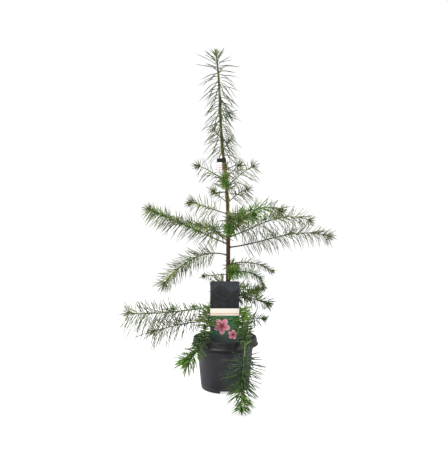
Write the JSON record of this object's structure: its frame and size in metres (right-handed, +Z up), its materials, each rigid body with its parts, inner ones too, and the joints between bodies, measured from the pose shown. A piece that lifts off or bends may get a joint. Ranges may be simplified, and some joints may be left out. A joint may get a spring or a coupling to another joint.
{
  "type": "potted european larch",
  "caption": "Young conifer with one slender leading shoot and whorls of drooping needled side shoots, in a round nursery pot with a plain label card",
  "frame": {"origin": "the pot's axis on the flat underside of the pot", "axes": "+Z up along the pot's axis, -Y towards the side that the label card's face and the picture's camera are on, +X to the right in the picture"},
  "size_m": [0.6231, 0.4577, 0.9887],
  "materials": {
    "pot": "satin",
    "soil": "matte",
    "card": "satin",
    "tag": "satin",
    "clip": "satin",
    "bark": "matte",
    "bough_bark": "matte",
    "needles": "matte"
  },
  "bodies": {
    "root": {"bough_back_3": "bough_bark", "bough_back_4": "bough_bark", "bough_back_8": "bough_bark", "bough_left_10": "bough_bark", "bough_left_5": "bough_bark", "bough_left_6": "bough_bark", "bough_left_8": "bough_bark", "bough_left_9": "bough_bark", "bough_right_11": "bough_bark", "bough_right_4": "bough_bark", "bough_right_5": "bough_bark", "bough_right_6": "bough_bark", "bough_right_7": "bough_bark", "foliage_back_1": "needles", "foliage_back_2": "needles", "foliage_back_3": "needles", "foliage_back_4": "needles", "foliage_back_5": "needles", "foliage_back_6": "needles", "foliage_back_7": "needles", "foliage_back_8": "needles", "foliage_front_1": "needles", "foliage_front_2": "needles", "foliage_front_3": "needles", "foliage_front_4": "needles", "foliage_leader_1": "needles", "foliage_leader_2": "needles", "foliage_leader_3": "needles", "foliage_leader_tip": "needles", "foliage_left_1": "needles", "foliage_left_10": "needles", "foliage_left_2": "needles", "foliage_left_3": "needles", "foliage_left_4": "needles", "foliage_left_5": "needles", "foliage_left_6": "needles", "foliage_left_7": "needles", "foliage_left_8": "needles", "foliage_left_9": "needles", "foliage_right_1": "needles", "foliage_right_10": "needles", "foliage_right_11": "needles", "foliage_right_2": "needles", "foliage_right_3": "needles", "foliage_right_4": "needles", "foliage_right_5": "needles", "foliage_right_6": "needles", "foliage_right_7": "needles", "foliage_right_8": "needles", "foliage_right_9": "needles", "label_card": "card", "pot": "pot", "soil": "soil", "tag": "tag", "tag_clip": "clip", "trunk": "bark"}
  },
  "joints": []
}
